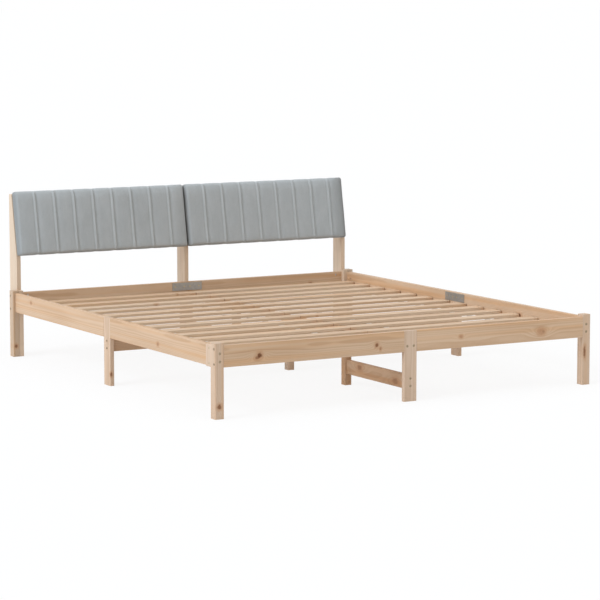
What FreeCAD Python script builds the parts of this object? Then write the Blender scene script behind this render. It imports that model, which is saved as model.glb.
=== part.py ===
import FreeCAD, Part
import math
import os
from FreeCAD import Vector

# A double bed frame in solid pine with a leaning, two-cushion headboard.
# Millimetres. +X is the sleeper's width seen from the foot, +Y runs from the foot
# to the head and +Z is up. The origin lies on the floor, in the middle of the
# rectangle that the whole frame covers.

os.makedirs("parts", exist_ok=True)

# Overall sizes
frame_width = 1855.0            # over the outer faces of the corner legs
frame_length = 2055.0           # front of the foot legs to back of the head legs
leg_height = 310.0
board = 20.0                    # thickness of rails, beams and board legs
board_leg_width = 62.0          # the same stock for board legs, beams and stretchers
edge_round = 2.5                # eased long edges

# Rails
rail_height = 90.0
leg_rise = 10.0                 # corner legs stand this much above the rails
side_rail_recess = 12.0         # side rail set in from the outer faces of the legs

# Corner legs
foot_leg_width = 40.0
foot_leg_depth = 40.0
tongue_length = 39.0            # lap of the foot leg along the outside of the side rail
head_leg_depth = 42.0

# Support legs and low stretchers on the centre line
support_width = 32.0
support_depth = 35.0
stretcher_bottom = 50.0

# Slats, their ledges and the webbing that spaces them
ledge_size = 20.0
slat_bed_drop = 55.0            # top of the ledges below the top of the rails
slat_width = 60.0
slat_thickness = 12.0
slat_rows = 14
slat_end_margin = 15.0          # first and last slat from the foot rail and head leg
slat_side_gap = 6.0             # slat end to the inside of the side rail
slat_centre_gap = 4.0           # left slat to right slat over the centre beam
slat_round = 2.0
webbing_width = 25.0
webbing_thickness = 1.0
webbing_inset = 178.0           # band centre from the inner face of the side rail
webbing_overhang = 8.0

# Headboard posts and bars
post_thickness = 20.0
post_setback = 25.5             # front edge above the leg, behind the leg's front face
post_overhang = 65.0            # back edge beyond the back of the head legs
post_top = 758.0
lean_height = 297.0             # the part of the posts, up to their top, that leans back
lean_angle = 10.0               # degrees
bar_width = 62.0
bar_round = 2.0
bar_edge_inset = 20.0           # bar edge in from the cushion's top or bottom edge
tenon_length = 8.0
tenon_thickness = 9.0
tenon_shoulder = 11.0           # bar edge to tenon edge

# Cushions, measured along the leaning front edge of the posts
cushion_depth = 36.0
cushion_crown = 3.0             # extra swell at the middle of each channel
cushion_start = 10.0            # lower edge above the start of the lean
cushion_rise = 10.5             # upper edge above the top of the posts
cushion_gap = 6.0
cushion_end_inset = 2.0
cushion_edge_depth = 22.0       # depth that is left at the rounded rim
cushion_edge_run = 14.0         # how far the rim takes to reach full depth
cushion_side_draw = 3.0         # ends drawn in between the corners
cushion_soft_gap = 0.3
channels = 9
seam_depth = 3.5
cushion_board_thickness = 6.0
cushion_board_inset = 12.0

# Fasteners
bolt_radius = 3.0
bolt_head_radius = 6.0
bolt_head_height = 4.0
bolt_head_sink = 1.0
socket_across = 4.0
socket_depth = 2.5
bolt_reach = 46.0               # length in the end grain of the joined piece
barrel_radius = 5.0
barrel_length = 15.0
barrel_from_end = 34.0          # barrel axis from the end of the rail
bore_clearance = 0.2
screw_radius = 2.0
screw_head_radius = 4.0
screw_head_height = 2.4
screw_bite = 15.0               # length in the second piece
dowel_radius = 4.0
dowel_reach = 24.0
corner_bolt_spread = 62.0       # side bolts, apart in height
end_bolt_spread = 33.0          # bolts in the front of the foot legs, apart in height
end_bolt_drop = 4.5             # their middle below the middle of the rail
leg_bolt_spread = 32.0          # pairs through the board legs
plate_length = 160.0
plate_height = 38.0
plate_thickness = 2.0
plate_hole_edge = 16.0
cut_overrun = 1.0

# Planes worked out from the sizes above
whole_length = frame_length + post_overhang
half_width = frame_width / 2
foot_front = -whole_length / 2
foot_leg_back = foot_front + foot_leg_depth
foot_rail_back = foot_front + board
head_back = foot_front + frame_length
head_front = head_back - head_leg_depth
head_rail_front = head_back - board
post_back = head_back + post_overhang
post_front = head_front + post_setback
middle = (foot_front + head_back) / 2
rail_top = leg_height - leg_rise
rail_bottom = rail_top - rail_height
side_outer = half_width - side_rail_recess
side_inner = side_outer - board
side_middle = (side_outer + side_inner) / 2
foot_leg_inner = half_width - foot_leg_width
post_inner = side_inner - post_thickness
half_board_leg = board_leg_width / 2
half_board = board / 2
half_support = support_width / 2
slat_bed = rail_top - slat_bed_drop
beam_bottom = slat_bed - board
cross_beam_top = rail_bottom
cross_beam_bottom = cross_beam_top - board_leg_width
stretcher_top = stretcher_bottom + board_leg_width
quarter_foot = (foot_rail_back + middle) / 2
quarter_head = (middle + head_rail_front) / 2
lean_start = post_top - lean_height
lean_run = lean_height / math.cos(math.radians(lean_angle))
cushion_height = lean_run + cushion_rise - cushion_start
rail_middle = (rail_top + rail_bottom) / 2

X = Vector(1, 0, 0)
Y = Vector(0, 1, 0)
Z = Vector(0, 0, 1)

axis_maps = {
    "x": lambda u, v, s: Vector(s, u, v),
    "y": lambda u, v, s: Vector(u, s, v),
    "z": lambda u, v, s: Vector(u, v, s),
}

pieces = {}                     # node name to shape
bolts = []
barrels = []
screws = []
dowels = []


def as_solid(shape):
    """One well-oriented solid from an extruded or cut shape."""
    solid = shape.Solids[0] if shape.Solids else Part.Solid(shape)
    if solid.Volume < 0:
        solid.reverse()
    return solid


def rounded_outline(place, u0, u1, v0, v1, s, radius):
    """A rectangle with quarter-round corners, at station s of an axis map."""
    bow = radius * (1 - math.sqrt(0.5))
    line = Part.LineSegment
    arc = Part.Arc
    return Part.Wire([
        line(place(u0 + radius, v0, s), place(u1 - radius, v0, s)).toShape(),
        arc(place(u1 - radius, v0, s), place(u1 - bow, v0 + bow, s), place(u1, v0 + radius, s)).toShape(),
        line(place(u1, v0 + radius, s), place(u1, v1 - radius, s)).toShape(),
        arc(place(u1, v1 - radius, s), place(u1 - bow, v1 - bow, s), place(u1 - radius, v1, s)).toShape(),
        line(place(u1 - radius, v1, s), place(u0 + radius, v1, s)).toShape(),
        arc(place(u0 + radius, v1, s), place(u0 + bow, v1 - bow, s), place(u0, v1 - radius, s)).toShape(),
        line(place(u0, v1 - radius, s), place(u0, v0 + radius, s)).toShape(),
        arc(place(u0, v0 + radius, s), place(u0 + bow, v0 + bow, s), place(u0 + radius, v0, s)).toShape(),
    ])


def board_piece(along, u_range, v_range, s_range, radius=None):
    """A planed board or square leg with eased long edges, lying along one axis."""
    u0, u1 = sorted(u_range)
    v0, v1 = sorted(v_range)
    s0, s1 = sorted(s_range)
    place = axis_maps[along]
    face = Part.Face(rounded_outline(place, u0, u1, v0, v1, s0, edge_round if radius is None else radius))
    return as_solid(face.extrude(place(0, 0, s1) - place(0, 0, s0)))


def block(x_range, y_range, z_range):
    """A plain square-edged block between three pairs of planes."""
    x0, x1 = sorted(x_range)
    y0, y1 = sorted(y_range)
    z0, z1 = sorted(z_range)
    return Part.makeBox(x1 - x0, y1 - y0, z1 - z0, Vector(x0, y0, z0))


def drill(names, tool):
    for name in names:
        pieces[name] = as_solid(pieces[name].cut(tool))


def hex_socket(at, direction):
    """A six-sided socket, cut into a bolt head from its outer face."""
    side = Z.cross(direction) if abs(direction.z) < 0.5 else X
    up = direction.cross(side)
    corner = socket_across / 2 / math.cos(math.pi / 6)
    ring = [at + side * (corner * math.cos(math.pi * k / 3)) + up * (corner * math.sin(math.pi * k / 3))
            for k in range(7)]
    return as_solid(Part.Face(Part.makePolygon(ring)).extrude(direction * socket_depth))


def add_bolt(at, direction, through, names, nut_axis=None, reach=bolt_reach):
    """A sunk bolt that runs through one piece and into the end of the next.

    at is on the outer face, and through is the thickness that it passes before the
    joint. nut_axis is the direction of a barrel nut across the second piece.
    """
    head_at = at + direction * bolt_head_sink
    shank_at = head_at + direction * bolt_head_height
    shank = through + reach - bolt_head_sink - bolt_head_height
    solid = Part.makeCylinder(bolt_head_radius, bolt_head_height, head_at, direction)
    solid = solid.fuse(Part.makeCylinder(bolt_radius, shank, shank_at, direction)).removeSplitter()
    bolts.append(as_solid(solid.cut(hex_socket(head_at, direction))))
    start = at - direction * cut_overrun
    wide = Part.makeCylinder(bolt_head_radius + bore_clearance,
                             cut_overrun + bolt_head_sink + bolt_head_height, start, direction)
    narrow = Part.makeCylinder(bolt_radius + bore_clearance, shank + bore_clearance, shank_at, direction)
    drill(names, wide.fuse(narrow))
    if nut_axis:
        nut_centre = at + direction * (through + barrel_from_end)
        nut_at = nut_centre - nut_axis * (barrel_length / 2)
        nut = Part.makeCylinder(barrel_radius, barrel_length, nut_at, nut_axis)
        barrels.append(as_solid(nut.cut(narrow)))
        bore = Part.makeCylinder(barrel_radius + bore_clearance, barrel_length + board, nut_at, nut_axis)
        drill(names[-1:], bore)


def add_screw(at, direction, through, names):
    """A countersunk wood screw whose head is flush with the face at its start."""
    length = through + screw_bite
    tip = at + direction * length
    head = Part.makeCone(screw_head_radius, screw_radius, screw_head_height, at, direction)
    shank = Part.makeCylinder(screw_radius, length - screw_head_height, at + direction * screw_head_height, direction)
    screws.append(as_solid(head.fuse(shank).removeSplitter()))
    start = at - direction * cut_overrun
    wide = Part.makeCone(screw_head_radius + bore_clearance, screw_radius + bore_clearance,
                         screw_head_height, at, direction)
    mouth = Part.makeCylinder(screw_head_radius + bore_clearance, cut_overrun, start, direction)
    narrow = Part.makeCylinder(screw_radius + bore_clearance, (tip - at).Length + bore_clearance, at, direction)
    drill(names, mouth.fuse(wide).fuse(narrow))


def make_foot_end():
    """Square corner legs with a lapping tongue, a board leg and two half rails."""
    for side, name in ((-1, "left"), (1, "right")):
        leg = board_piece("z", (side * half_width, side * foot_leg_inner),
                          (foot_front, foot_leg_back), (0, leg_height))
        tongue = board_piece("y", (side * half_width, side * side_outer), (rail_bottom, rail_top),
                             (foot_leg_back - foot_leg_depth / 2, foot_leg_back + tongue_length))
        pieces["foot_leg_" + name] = as_solid(leg.fuse(tongue).removeSplitter())
        pieces["foot_rail_" + name] = board_piece(
            "x", (foot_front, foot_rail_back), (rail_bottom, rail_top),
            (side * half_board_leg, side * foot_leg_inner))
    pieces["foot_leg_centre"] = board_piece("z", (-half_board_leg, half_board_leg),
                                            (foot_front, foot_rail_back), (0, rail_top))


def make_sides():
    """Each side rail comes in two halves, which meet at a board leg at mid length."""
    for side, name in ((-1, "left"), (1, "right")):
        across = (side * side_outer, side * side_inner)
        pieces["side_rail_" + name + "_foot"] = board_piece(
            "y", across, (rail_bottom, rail_top), (foot_leg_back, middle - half_board_leg))
        pieces["side_rail_" + name + "_head"] = board_piece(
            "y", across, (rail_bottom, rail_top), (middle + half_board_leg, head_front))
        pieces["mid_leg_" + name] = board_piece(
            "z", across, (middle - half_board_leg, middle + half_board_leg), (0, rail_top))
        ledge = (side * side_inner, side * (side_inner - ledge_size))
        ledge_height = (slat_bed - ledge_size, slat_bed)
        pieces["slat_ledge_" + name + "_foot"] = board_piece(
            "y", ledge, ledge_height, (foot_leg_back, middle), slat_round)
        pieces["slat_ledge_" + name + "_head"] = board_piece(
            "y", ledge, ledge_height, (middle, head_front), slat_round)


def make_head_end():
    """Corner legs, a board leg and two half rails between the headboard posts."""
    for side, name in ((-1, "left"), (1, "right")):
        pieces["head_leg_" + name] = board_piece(
            "z", (side * half_width, side * side_inner), (head_front, head_back), (0, leg_height))
        pieces["head_rail_" + name] = board_piece(
            "x", (head_rail_front, head_back), (rail_bottom, rail_top),
            (side * half_board_leg, side * post_inner))
    pieces["head_leg_centre"] = board_piece("z", (-half_board_leg, half_board_leg),
                                            (head_rail_front, head_back), (0, rail_top))


def make_centre_supports():
    """The flat centre beam, its three square legs, cross beams and low stretchers."""
    support = (-half_support, half_support)
    for y, name in ((quarter_foot, "quarter_leg_foot"), (middle, "mid_leg_centre"),
                    (quarter_head, "quarter_leg_head")):
        pieces[name] = board_piece("z", support, (y - support_depth / 2, y + support_depth / 2),
                                   (0, beam_bottom))
    beam = (-half_board_leg, half_board_leg)
    pieces["centre_beam_foot"] = board_piece("y", beam, (beam_bottom, slat_bed), (foot_rail_back, middle))
    pieces["centre_beam_head"] = board_piece("y", beam, (beam_bottom, slat_bed), (middle, head_rail_front))
    for side, name in ((-1, "left"), (1, "right")):
        pieces["cross_beam_" + name] = board_piece(
            "x", (middle - half_board, middle + half_board), (cross_beam_bottom, cross_beam_top),
            (side * half_support, side * side_inner))
    stretcher = (-half_board, half_board)
    low = (stretcher_bottom, stretcher_top)
    pieces["low_stretcher_foot"] = board_piece(
        "y", stretcher, low, (foot_rail_back, quarter_foot - support_depth / 2))
    pieces["low_stretcher_head"] = board_piece(
        "y", stretcher, low, (quarter_head + support_depth / 2, head_rail_front))


def slat_centres():
    first = foot_leg_back + slat_end_margin + slat_width / 2
    last = head_front - slat_end_margin - slat_width / 2
    return [first + (last - first) * k / (slat_rows - 1) for k in range(slat_rows)]


def make_slats():
    """Rows of two slats that meet over the centre beam, with webbing stapled beneath them."""
    outer = side_inner - slat_side_gap
    inner = slat_centre_gap / 2
    height = (slat_bed, slat_bed + slat_thickness)
    centres = slat_centres()
    for row, y in enumerate(centres, 1):
        depth = (y - slat_width / 2, y + slat_width / 2)
        pair = [board_piece("x", depth, height, (side * inner, side * outer), slat_round) for side in (-1, 1)]
        pieces["slat_row_%02d" % row] = Part.makeCompound(pair)
    bands = []
    reach = slat_width / 2 + webbing_overhang
    for side in (-1, 1):
        for x in (side_inner - webbing_inset, slat_centre_gap + webbing_inset):
            bands.append(block((side * x - webbing_width / 2, side * x + webbing_width / 2),
                               (centres[0] - reach, centres[-1] + reach),
                               (height[0] - webbing_thickness, height[0])))
    pieces["slat_webbing"] = Part.makeCompound(bands)


def lean_point(up, out):
    """Y and Z of a point on the leaning face: up along it, and out from it."""
    angle = math.radians(lean_angle)
    return (post_front + up * math.sin(angle) - out * math.cos(angle),
            lean_start + up * math.cos(angle) + out * math.sin(angle))


def post_profile(low_front, low_back, low_end, notch_top):
    """Side view of a post: a step above the rail, an upright run and the leaning edge."""
    top_front = post_front + lean_height * math.tan(math.radians(lean_angle))
    return [(low_front, low_end), (low_front, notch_top), (post_front, notch_top), (post_front, lean_start),
            (top_front, post_top), (post_back, post_top), (low_back, low_end)]


def make_post(x0, x1, outline):
    points = [Vector(x0, y, z) for y, z in outline]
    face = Part.Face(Part.makePolygon(points + points[:1]))
    return as_solid(face.extrude(X * (x1 - x0)))


def make_headboard_posts():
    """Two outer posts that reach the floor and a centre post hung on the head rail."""
    for side, name in ((-1, "left"), (1, "right")):
        outline = post_profile(head_front, post_back, 0, leg_height)
        x0, x1 = sorted((side * side_inner, side * post_inner))
        pieces["headboard_post_" + name] = ease_post(make_post(x0, x1, outline))
    outline = post_profile(head_back, post_back, rail_bottom, rail_top)
    pieces["headboard_post_centre"] = ease_post(make_post(-post_thickness / 2, post_thickness / 2, outline))


def ease_post(post):
    """Ease the two long upright edges at the back and the top corner edges."""
    wanted = []
    for edge in post.Edges:
        ends = [vertex.Point for vertex in edge.Vertexes]
        at_back = all(abs(point.y - post_back) < cut_overrun for point in ends)
        at_top = all(abs(point.z - post_top) < cut_overrun for point in ends)
        if (at_back and not at_top) or (at_top and not at_back):
            wanted.append(edge)
    return as_solid(post.makeChamfer(edge_round / 2, wanted))


def leaning_board(x_range, up_range, out_range, radius):
    """A board that lies in the leaning plane of the headboard."""
    up0, up1 = up_range
    out0, out1 = out_range

    def place(u, v, s):
        y, z = lean_point(u, v)
        return Vector(s, y, z)

    x0, x1 = sorted(x_range)
    face = Part.Face(rounded_outline(place, up0, up1, out0, out1, x0, radius))
    return as_solid(face.extrude(X * (x1 - x0)))


def bar_spans():
    low = cushion_start + bar_edge_inset
    high = cushion_start + cushion_height - bar_edge_inset
    return {"bottom": (low, low + bar_width), "top": (high - bar_width, high)}


def make_headboard_bars():
    """Four bars with stub tenons, flush with the leaning edges of the posts."""
    for level, (up0, up1) in bar_spans().items():
        for side, name in ((-1, "left"), (1, "right")):
            inner = side * post_thickness / 2
            outer = side * post_inner
            bar = leaning_board((inner, outer), (up0, up1), (-board, 0), bar_round)
            tenon_up = (up0 + tenon_shoulder, up1 - tenon_shoulder)
            tenon_out = (-board / 2 - tenon_thickness / 2, -board / 2 + tenon_thickness / 2)
            tenon = leaning_board((inner - side * tenon_length, outer + side * tenon_length),
                                  tenon_up, tenon_out, bar_round)
            grown = bore_clearance
            mortise = leaning_board(
                (inner - side * (tenon_length + grown), outer + side * (tenon_length + grown)),
                (tenon_up[0] - grown, tenon_up[1] + grown), (tenon_out[0] - grown, tenon_out[1] + grown), bar_round)
            pieces["headboard_%s_bar_%s" % (level, name)] = as_solid(bar.fuse(tenon).removeSplitter())
            drill(["headboard_post_centre", "headboard_post_" + name], mortise)


def cushion_span(side):
    inner = cushion_gap / 2
    outer = side_inner - cushion_end_inset
    return sorted((side * inner, side * outer))


def cushion_section(x0, x1, up, depth, swell):
    """One cut across a cushion: a flat back and a bowed face for each channel."""
    def place(x, out):
        y, z = lean_point(up, out)
        return Vector(x, y, z)

    def line(a, b):
        return Part.LineSegment(a, b).toShape()

    pitch = (x1 - x0) / channels
    valley = max(depth - seam_depth, depth / 2)
    back = cushion_soft_gap
    front = []
    for k in range(channels):
        xa = x0 + pitch * k
        xb = xa + pitch
        start = place(xa, depth / 2 if k == 0 else valley)
        end = place(xb, depth / 2 if k == channels - 1 else valley)
        crest = place((xa + xb) / 2, depth + swell)
        front.append(Part.Arc(start, crest, end).toShape())
    walls = [line(place(x1, depth / 2), place(x1, back)), line(place(x1, back), place(x0, back)),
             line(place(x0, back), place(x0, depth / 2))]
    return Part.Wire(front + walls)


def make_cushions():
    """Channelled cushions, each drawn over a thin backing board."""
    rim = (
        (0.0, cushion_edge_depth, 0.0, 0.0),
        (cushion_edge_run, cushion_depth, cushion_crown / 2, 0.5),
        (cushion_height / 2, cushion_depth, cushion_crown, 1.0),
        (cushion_height - cushion_edge_run, cushion_depth, cushion_crown / 2, 0.5),
        (cushion_height, cushion_edge_depth, 0.0, 0.0),
    )
    for side, name in ((-1, "left"), (1, "right")):
        x0, x1 = cushion_span(side)
        sections = []
        for up, depth, swell, draw_share in rim:
            draw = cushion_side_draw * draw_share
            sections.append(cushion_section(x0 + draw, x1 - draw, cushion_start + up, depth, swell))
        pad = as_solid(Part.makeLoft(sections, True, True))
        up_range = (cushion_start + cushion_board_inset, cushion_start + cushion_height - cushion_board_inset)
        span = (x0 + cushion_board_inset, x1 - cushion_board_inset)
        panel = leaning_board(span, up_range, (0, cushion_board_thickness), bar_round)
        pocket_span = (span[0] - cushion_soft_gap, span[1] + cushion_soft_gap)
        pocket_up = (up_range[0] - cushion_soft_gap, up_range[1] + cushion_soft_gap)
        pocket = leaning_board(pocket_span, pocket_up,
                               (-cut_overrun, cushion_board_thickness + cushion_soft_gap), bar_round)
        pieces["cushion_board_" + name] = panel
        pieces["headboard_cushion_" + name] = as_solid(pad.cut(pocket))


def fit_corner_bolts():
    """Bolts through the corner legs into the ends of the rails."""
    centre = (foot_front + foot_rail_back) / 2
    head_centre = (head_rail_front + head_back) / 2
    for side, name in ((-1, "left"), (1, "right")):
        inward = X * -side
        for level in (-1, 1):
            z = rail_middle + level * corner_bolt_spread / 2
            add_bolt(Vector(side * half_width, centre, z), inward, foot_leg_width,
                     ["foot_leg_" + name, "foot_rail_" + name], Y)
            add_bolt(Vector(side * half_width, head_centre, z), inward, half_width - post_inner,
                     ["head_leg_" + name, "headboard_post_" + name, "head_rail_" + name], Y * -1)
            z = rail_middle - end_bolt_drop + level * end_bolt_spread / 2
            add_bolt(Vector(side * side_middle, foot_front, z), Y, foot_leg_depth,
                     ["foot_leg_" + name, "side_rail_" + name + "_foot"], inward)
            add_bolt(Vector(side * side_middle, head_back, z), Y * -1, head_leg_depth,
                     ["head_leg_" + name, "side_rail_" + name + "_head"], inward)
            z = rail_middle + level * corner_bolt_spread / 2
            y = foot_leg_back + tongue_length / 3
            add_screw(Vector(side * half_width, y, z), inward, side_rail_recess,
                      ["foot_leg_" + name, "side_rail_" + name + "_foot"])


def fit_board_leg_bolts():
    """Pairs of bolts through the three kinds of board leg."""
    beam_z = (beam_bottom + slat_bed) / 2
    stretcher_z = (stretcher_bottom + stretcher_top) / 2
    post_z = (rail_top + slat_bed) / 2
    for level in (-1, 1):
        shift = level * leg_bolt_spread / 2
        add_bolt(Vector(shift, foot_front, beam_z), Y, board, ["foot_leg_centre", "centre_beam_foot"])
        add_bolt(Vector(shift, head_back, beam_z), Y * -1, board, ["head_leg_centre", "centre_beam_head"])
        low = Vector(0, foot_front, stretcher_z + shift)
        add_bolt(low, Y, board, ["foot_leg_centre", "low_stretcher_foot"])
        low = Vector(0, head_back, stretcher_z + shift)
        add_bolt(low, Y * -1, board, ["head_leg_centre", "low_stretcher_head"])
        back = Vector(0, quarter_foot + support_depth / 2, stretcher_z + shift)
        add_bolt(back, Y * -1, support_depth, ["quarter_leg_foot", "low_stretcher_foot"])
        back = Vector(0, quarter_head - support_depth / 2, stretcher_z + shift)
        add_bolt(back, Y, support_depth, ["quarter_leg_head", "low_stretcher_head"])
        cross_z = (cross_beam_bottom + cross_beam_top) / 2 + shift
        for side, name in ((-1, "left"), (1, "right")):
            add_bolt(Vector(side * side_outer, middle, cross_z), X * -side, board,
                     ["mid_leg_" + name, "cross_beam_" + name])
    for level in (-1, 1):
        z = post_z + level * bolt_head_radius * 1.5
        add_bolt(Vector(0, head_rail_front, z), Y, board, ["head_leg_centre", "headboard_post_centre"])


def make_plates():
    """Flat steel plates that tie the half rails to the board legs on the inside."""
    plates = []
    low = rail_top - plate_hole_edge / 4 - plate_height
    high = low + plate_height
    mid_z = (low + high) / 2
    holes = [level * (plate_length / 2 - plate_hole_edge) for level in (-1, 1)]
    ends = (
        (foot_rail_back, Y, -1, "foot_rail_", "foot_leg_centre"),
        (head_rail_front, Y * -1, 1, "head_rail_", "head_leg_centre"),
    )
    for y, inward, sign, rail, leg in ends:
        face = y + inward.y * plate_thickness
        plate = block((-plate_length / 2, plate_length / 2), (y, face), (low, high))
        for x in holes + [level * half_board_leg / 2 for level in (-1, 1)]:
            name = "left" if x < 0 else "right"
            owner = rail + name if abs(x) > half_board_leg else leg
            pieces["plate_now"] = plate
            add_screw(Vector(x, face, mid_z), inward * -1, plate_thickness, ["plate_now", owner])
            plate = pieces.pop("plate_now")
        plates.append(plate)
    for side, name in ((-1, "left"), (1, "right")):
        face = side * (side_inner - plate_thickness)
        plate = block((side * side_inner, face), (middle - plate_length / 2, middle + plate_length / 2), (low, high))
        for y in holes + [level * half_board_leg / 2 for level in (-1, 1)]:
            half = "_foot" if y < 0 else "_head"
            owner = "side_rail_" + name + half if abs(y) > half_board_leg else "mid_leg_" + name
            pieces["plate_now"] = plate
            add_screw(Vector(face, middle + y, mid_z), X * side, plate_thickness, ["plate_now", owner])
            plate = pieces.pop("plate_now")
        plates.append(plate)
    pieces["joining_plates"] = Part.makeCompound(plates)


def fit_wood_screws():
    """Screws in the slat ledges, down through the centre beam and behind the cushions."""
    ledge_z = slat_bed - ledge_size / 2
    for side, name in ((-1, "left"), (1, "right")):
        at_x = side * (side_inner - ledge_size)
        for half, end in (("_foot", foot_leg_back), ("_head", head_front)):
            ledge = "slat_ledge_" + name + half
            rail = "side_rail_" + name + half
            for share in (0.12, 0.62):
                y = end + (middle - end) * share
                add_screw(Vector(at_x, y, ledge_z), X * side, ledge_size, [ledge, rail])
            toward = -1 if half == "_foot" else 1
            add_screw(Vector(at_x, middle + toward * half_board_leg / 2, ledge_z), X * side, ledge_size,
                      [ledge, "mid_leg_" + name])
    for beam, y, leg in (("centre_beam_foot", quarter_foot, "quarter_leg_foot"),
                         ("centre_beam_foot", middle - support_depth / 4, "mid_leg_centre"),
                         ("centre_beam_head", middle + support_depth / 4, "mid_leg_centre"),
                         ("centre_beam_head", quarter_head, "quarter_leg_head")):
        add_screw(Vector(0, y, slat_bed), Z * -1, board, [beam, leg])


def fit_cushion_screws():
    """Screws through the bars into the backing boards."""
    angle = math.radians(lean_angle)
    outward = Vector(0, -math.cos(angle), math.sin(angle))
    share_along = (0.2, 0.8)
    for side, name in ((-1, "left"), (1, "right")):
        x0, x1 = cushion_span(side)
        for level, (up0, up1) in bar_spans().items():
            for share in share_along:
                y, z = lean_point((up0 + up1) / 2, -board)
                at = Vector(x0 + (x1 - x0) * share, y, z)
                add_short_screw(at, outward, ["headboard_%s_bar_%s" % (level, name), "cushion_board_" + name])


def add_short_screw(at, direction, names):
    """A screw that stops inside the thin backing board."""
    global screw_bite
    kept = screw_bite
    screw_bite = cushion_board_thickness / 2
    add_screw(at, direction, board, names)
    screw_bite = kept


def fit_dowels():
    """Two long dowels carry the cross beams through the middle centre leg."""
    cross_z = (cross_beam_bottom + cross_beam_top) / 2
    length = support_width + 2 * dowel_reach
    for level in (-1, 1):
        at = Vector(-length / 2, middle, cross_z + level * leg_bolt_spread / 2)
        dowels.append(Part.makeCylinder(dowel_radius, length, at, X))
        bore = Part.makeCylinder(dowel_radius + bore_clearance, length + 2 * bore_clearance,
                                 at - X * bore_clearance, X)
        drill(["mid_leg_centre", "cross_beam_left", "cross_beam_right"], bore)


make_foot_end()
make_sides()
make_head_end()
make_centre_supports()
make_slats()
make_headboard_posts()
make_headboard_bars()
make_cushions()
fit_corner_bolts()
fit_board_leg_bolts()
make_plates()
fit_wood_screws()
fit_cushion_screws()
fit_dowels()
pieces["frame_bolts"] = Part.makeCompound(bolts)
pieces["barrel_nuts"] = Part.makeCompound(barrels)
pieces["wood_screws"] = Part.makeCompound(screws)
pieces["beam_dowels"] = Part.makeCompound(dowels)

for node, shape in pieces.items():
    shape.exportStep("parts/%s.step" % node)
    print(node, len(shape.Solids), "solids, valid" if shape.isValid() else "solids, not valid")
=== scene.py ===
import math
import random

import bmesh
import bpy
from mathutils import Matrix, Vector, noise
from mathutils.bvhtree import BVHTree


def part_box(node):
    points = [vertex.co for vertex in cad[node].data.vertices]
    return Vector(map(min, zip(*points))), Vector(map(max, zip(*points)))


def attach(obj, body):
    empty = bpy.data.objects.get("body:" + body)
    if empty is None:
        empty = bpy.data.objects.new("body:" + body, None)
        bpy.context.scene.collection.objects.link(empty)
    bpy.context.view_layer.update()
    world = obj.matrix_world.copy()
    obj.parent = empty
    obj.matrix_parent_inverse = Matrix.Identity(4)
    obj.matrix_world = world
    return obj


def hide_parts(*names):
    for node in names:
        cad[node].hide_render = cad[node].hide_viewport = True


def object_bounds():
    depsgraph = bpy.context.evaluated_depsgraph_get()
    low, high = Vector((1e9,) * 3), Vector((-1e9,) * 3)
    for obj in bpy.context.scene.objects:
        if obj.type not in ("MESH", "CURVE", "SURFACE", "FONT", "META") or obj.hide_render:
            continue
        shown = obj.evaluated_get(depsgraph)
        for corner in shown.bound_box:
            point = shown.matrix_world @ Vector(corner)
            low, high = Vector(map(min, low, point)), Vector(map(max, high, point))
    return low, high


# A double bed frame in pine with two stitched headboard cushions. Metres, the origin on
# the floor in the middle of the frame, +Y towards the head.

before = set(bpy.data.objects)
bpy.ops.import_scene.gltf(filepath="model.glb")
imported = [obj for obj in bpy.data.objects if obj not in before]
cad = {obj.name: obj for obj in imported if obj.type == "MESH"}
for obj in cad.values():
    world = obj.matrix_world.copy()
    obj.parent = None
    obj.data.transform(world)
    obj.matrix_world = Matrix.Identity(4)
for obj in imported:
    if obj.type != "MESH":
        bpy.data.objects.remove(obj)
cadLow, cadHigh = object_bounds()
print("frame loaded:", len(cad), "pieces")

# The headboard's leaning face starts here, on the front edge of the posts.
headboard = {
    "leanDegrees": 10.0,
    "leanHeight": 0.461,
    "postFront": 0.9785,
}
leanAngle = math.radians(headboard["leanDegrees"])
leanUp = Vector((0, math.sin(leanAngle), math.cos(leanAngle)))
leanOut = Vector((0, -math.cos(leanAngle), math.sin(leanAngle)))
leanStart = Vector((0, headboard["postFront"], headboard["leanHeight"]))


def leanPoint(across, up, out):
    return leanStart + Vector((across, 0, 0)) + leanUp * up + leanOut * out


def leanCoords(point):
    away = Vector(point) - leanStart
    return Vector((point[0], away.dot(leanUp), away.dot(leanOut)))


# Node building

def addNode(tree, kind, inputs=None, **settings):
    node = tree.nodes.new("ShaderNode" + kind)
    for name, value in settings.items():
        setattr(node, name, value)
    for key, value in (inputs or {}).items():
        if isinstance(value, bpy.types.NodeSocket):
            tree.links.new(value, node.inputs[key])
        else:
            node.inputs[key].default_value = value
    return node


def addMath(tree, operation, first, second=0.0, third=0.0, clamp=False):
    given = {0: first, 1: second, 2: third}
    return addNode(tree, "Math", given, operation=operation, use_clamp=clamp).outputs[0]


def addScale(tree, vector, factors):
    return addNode(tree, "VectorMath", {0: vector, 1: factors}, operation="MULTIPLY").outputs[0]


def addLength(tree, vector):
    return addNode(tree, "VectorMath", {0: vector}, operation="LENGTH").outputs["Value"]


def addDot(tree, first, second):
    given = {0: first, 1: second}
    return addNode(tree, "VectorMath", given, operation="DOT_PRODUCT").outputs["Value"]


def addBlend(tree, share, first, second, mode="MIX"):
    # mixes two colours; sockets 6 and 7 are the colour pair
    node = addNode(tree, "Mix", {0: share, 6: first, 7: second}, data_type="RGBA", blend_type=mode)
    return node.outputs[2]


def addNoise(tree, vector, scale, detail=2.0, roughness=0.5):
    given = {"Vector": vector, "Scale": scale, "Detail": detail, "Roughness": roughness}
    return addNode(tree, "TexNoise", given).outputs["Fac"]


def addRange(tree, value, fromLow, fromHigh, toLow=0.0, toHigh=1.0):
    given = {0: value, 1: fromLow, 2: fromHigh, 3: toLow, 4: toHigh}
    return addNode(tree, "MapRange", given, interpolation_type="SMOOTHSTEP").outputs[0]


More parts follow.
